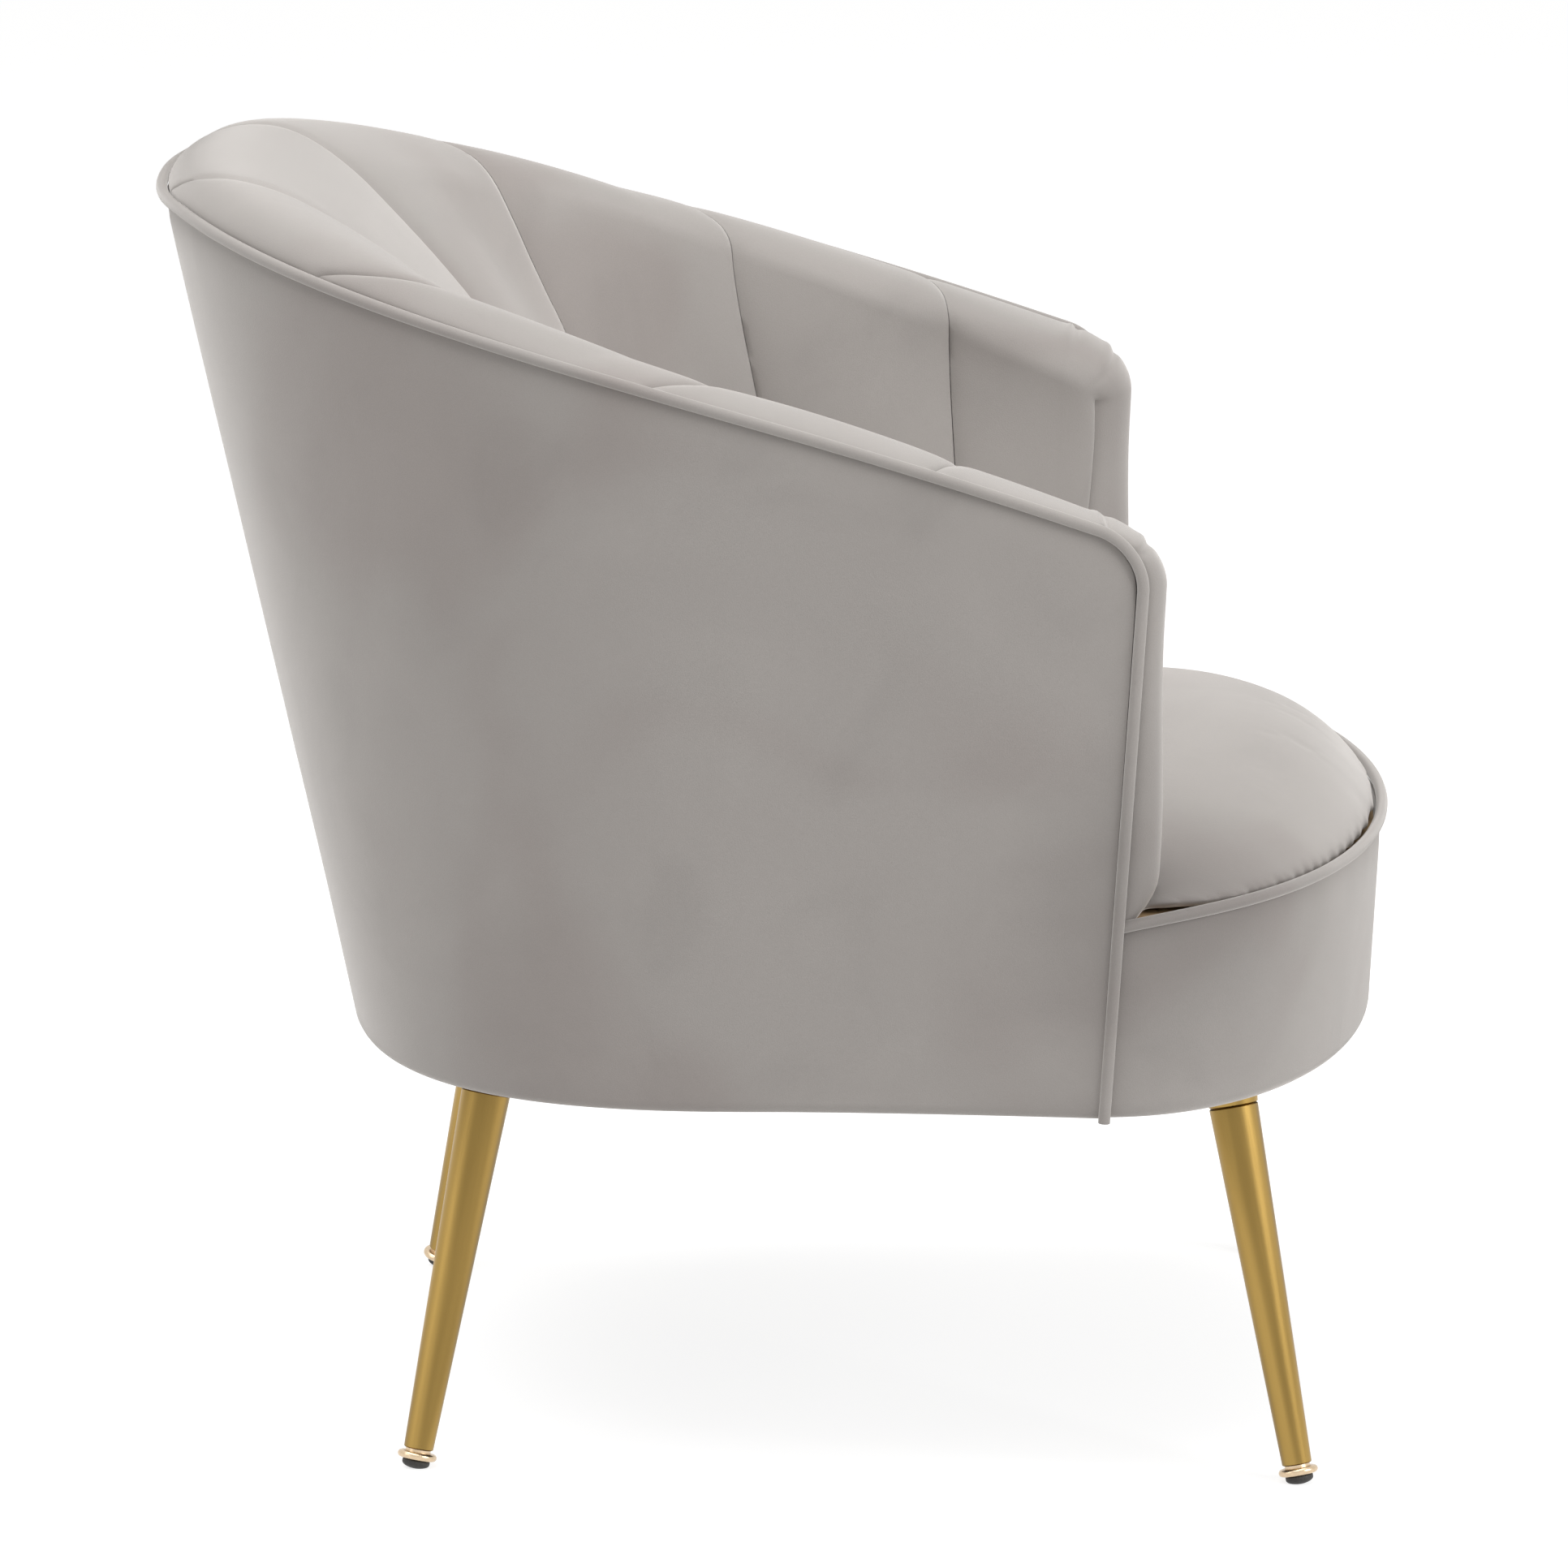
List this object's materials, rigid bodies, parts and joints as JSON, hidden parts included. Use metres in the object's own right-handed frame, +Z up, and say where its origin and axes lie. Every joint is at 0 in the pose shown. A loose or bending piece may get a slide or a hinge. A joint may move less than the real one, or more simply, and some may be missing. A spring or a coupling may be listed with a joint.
{
  "type": "upholstered armchair",
  "caption": "Tub armchair with a channelled velvet back wrapping into low arms, a crowned seat with corded front band, and splayed tapered brass legs on levelling feet.",
  "frame": {"origin": "on the floor under the centre of the chair's overall width and depth", "axes": "+X to the sitter's left, -Y the way the sitter faces, +Z up"},
  "size_m": [0.7502, 0.7655, 0.7788],
  "materials": {
    "velvet": "short-pile velvet in a warm grey-taupe with a soft sheen",
    "plywood": "raw birch plywood and beech",
    "fibreboard": "raw bent fibreboard",
    "webbing": "woven elastic webbing",
    "dust_cloth": "black non-woven cloth",
    "brushed_brass": "brass-plated steel tube, finely brushed along its length",
    "pale_brass": "polished champagne brass plating",
    "black_steel": "black-painted pressed steel",
    "zinc_steel": "zinc-plated steel",
    "black_rubber": "near-black moulded glide"
  },
  "bodies": {
    "chair": {"seat_cushion": "velvet", "channel_centre": "velvet", "channel_left_1": "velvet", "channel_left_2": "velvet", "channel_left_3": "velvet", "channel_left_4": "velvet", "channel_right_1": "velvet", "channel_right_2": "velvet", "channel_right_3": "velvet", "channel_right_4": "velvet", "seat_border": "velvet", "seat_piping": "velvet", "outer_back_cover": "velvet", "outer_piping": "velvet", "base_ring": "plywood", "seat_ring": "plywood", "top_rail": "plywood", "rib_centre": "plywood", "rib_left_1": "plywood", "rib_left_2": "plywood", "rib_right_1": "plywood", "rib_right_2": "plywood", "arm_post_left": "plywood", "arm_post_right": "plywood", "leg_block_front_left": "plywood", "leg_block_front_right": "plywood", "leg_block_rear_left": "plywood", "leg_block_rear_right": "plywood", "spacer_rear": "plywood", "spacer_left": "plywood", "spacer_right": "plywood", "lining_board": "fibreboard", "seat_webbing_1": "webbing", "seat_webbing_2": "webbing", "seat_webbing_3": "webbing", "seat_webbing_4": "webbing", "seat_webbing_5": "webbing", "dust_cover": "dust_cloth", "leg_front_left": "brushed_brass", "leg_plate_front_left": "black_steel", "leg_stud_front_left": "zinc_steel", "leg_front_right": "brushed_brass", "leg_plate_front_right": "black_steel", "leg_stud_front_right": "zinc_steel", "leg_rear_left": "brushed_brass", "leg_plate_rear_left": "black_steel", "leg_stud_rear_left": "zinc_steel", "leg_rear_right": "brushed_brass", "leg_plate_rear_right": "black_steel", "leg_stud_rear_right": "zinc_steel"},
    "foot_front_left": {"foot_pad_front_left": "black_rubber"},
    "adjuster_front_left": {"foot_collar_front_left": "pale_brass"},
    "foot_front_right": {"foot_pad_front_right": "black_rubber"},
    "adjuster_front_right": {"foot_collar_front_right": "pale_brass"},
    "foot_rear_left": {"foot_pad_rear_left": "black_rubber"},
    "adjuster_rear_left": {"foot_collar_rear_left": "pale_brass"},
    "foot_rear_right": {"foot_pad_rear_right": "black_rubber"},
    "adjuster_rear_right": {"foot_collar_rear_right": "pale_brass"}
  },
  "joints": [
    {"name": "foot_front_left_travel", "type": "slide", "parent": "chair", "child": "foot_front_left", "axis": [0.1743, -0.1754, -0.9689], "range_m": [0, 0.0075]},
    {"name": "foot_front_left_turn", "type": "hinge", "parent": "foot_front_left", "child": "adjuster_front_left", "pos_m": [0.2906, -0.3197, -0.0006], "axis": [0.1743, -0.1754, -0.9689], "range_deg": [0, 2160]},
    {"name": "foot_front_right_travel", "type": "slide", "parent": "chair", "child": "foot_front_right", "axis": [-0.1743, -0.1754, -0.9689], "range_m": [0, 0.0075]},
    {"name": "foot_front_right_turn", "type": "hinge", "parent": "foot_front_right", "child": "adjuster_front_right", "pos_m": [-0.2906, -0.3197, -0.0006], "axis": [-0.1743, -0.1754, -0.9689], "range_deg": [0, 2160]},
    {"name": "foot_rear_left_travel", "type": "slide", "parent": "chair", "child": "foot_rear_left", "axis": [0.174, 0.1865, -0.9669], "range_m": [0, 0.0075]},
    {"name": "foot_rear_left_turn", "type": "hinge", "parent": "foot_rear_left", "child": "adjuster_rear_left", "pos_m": [0.2546, 0.2208, -0.0006], "axis": [0.174, 0.1865, -0.9669], "range_deg": [0, 2160]},
    {"name": "foot_rear_right_travel", "type": "slide", "parent": "chair", "child": "foot_rear_right", "axis": [-0.174, 0.1865, -0.9669], "range_m": [0, 0.0075]},
    {"name": "foot_rear_right_turn", "type": "hinge", "parent": "foot_rear_right", "child": "adjuster_rear_right", "pos_m": [-0.2546, 0.2208, -0.0006], "axis": [-0.174, 0.1865, -0.9669], "range_deg": [0, 2160]}
  ],
  "couplings": [
    {"joint": "foot_front_left_turn", "follows": "foot_front_left_travel", "rad_per_m": 5026.5},
    {"joint": "foot_front_right_turn", "follows": "foot_front_right_travel", "rad_per_m": 5026.5},
    {"joint": "foot_rear_left_turn", "follows": "foot_rear_left_travel", "rad_per_m": 5026.5},
    {"joint": "foot_rear_right_turn", "follows": "foot_rear_right_travel", "rad_per_m": 5026.5}
  ]
}
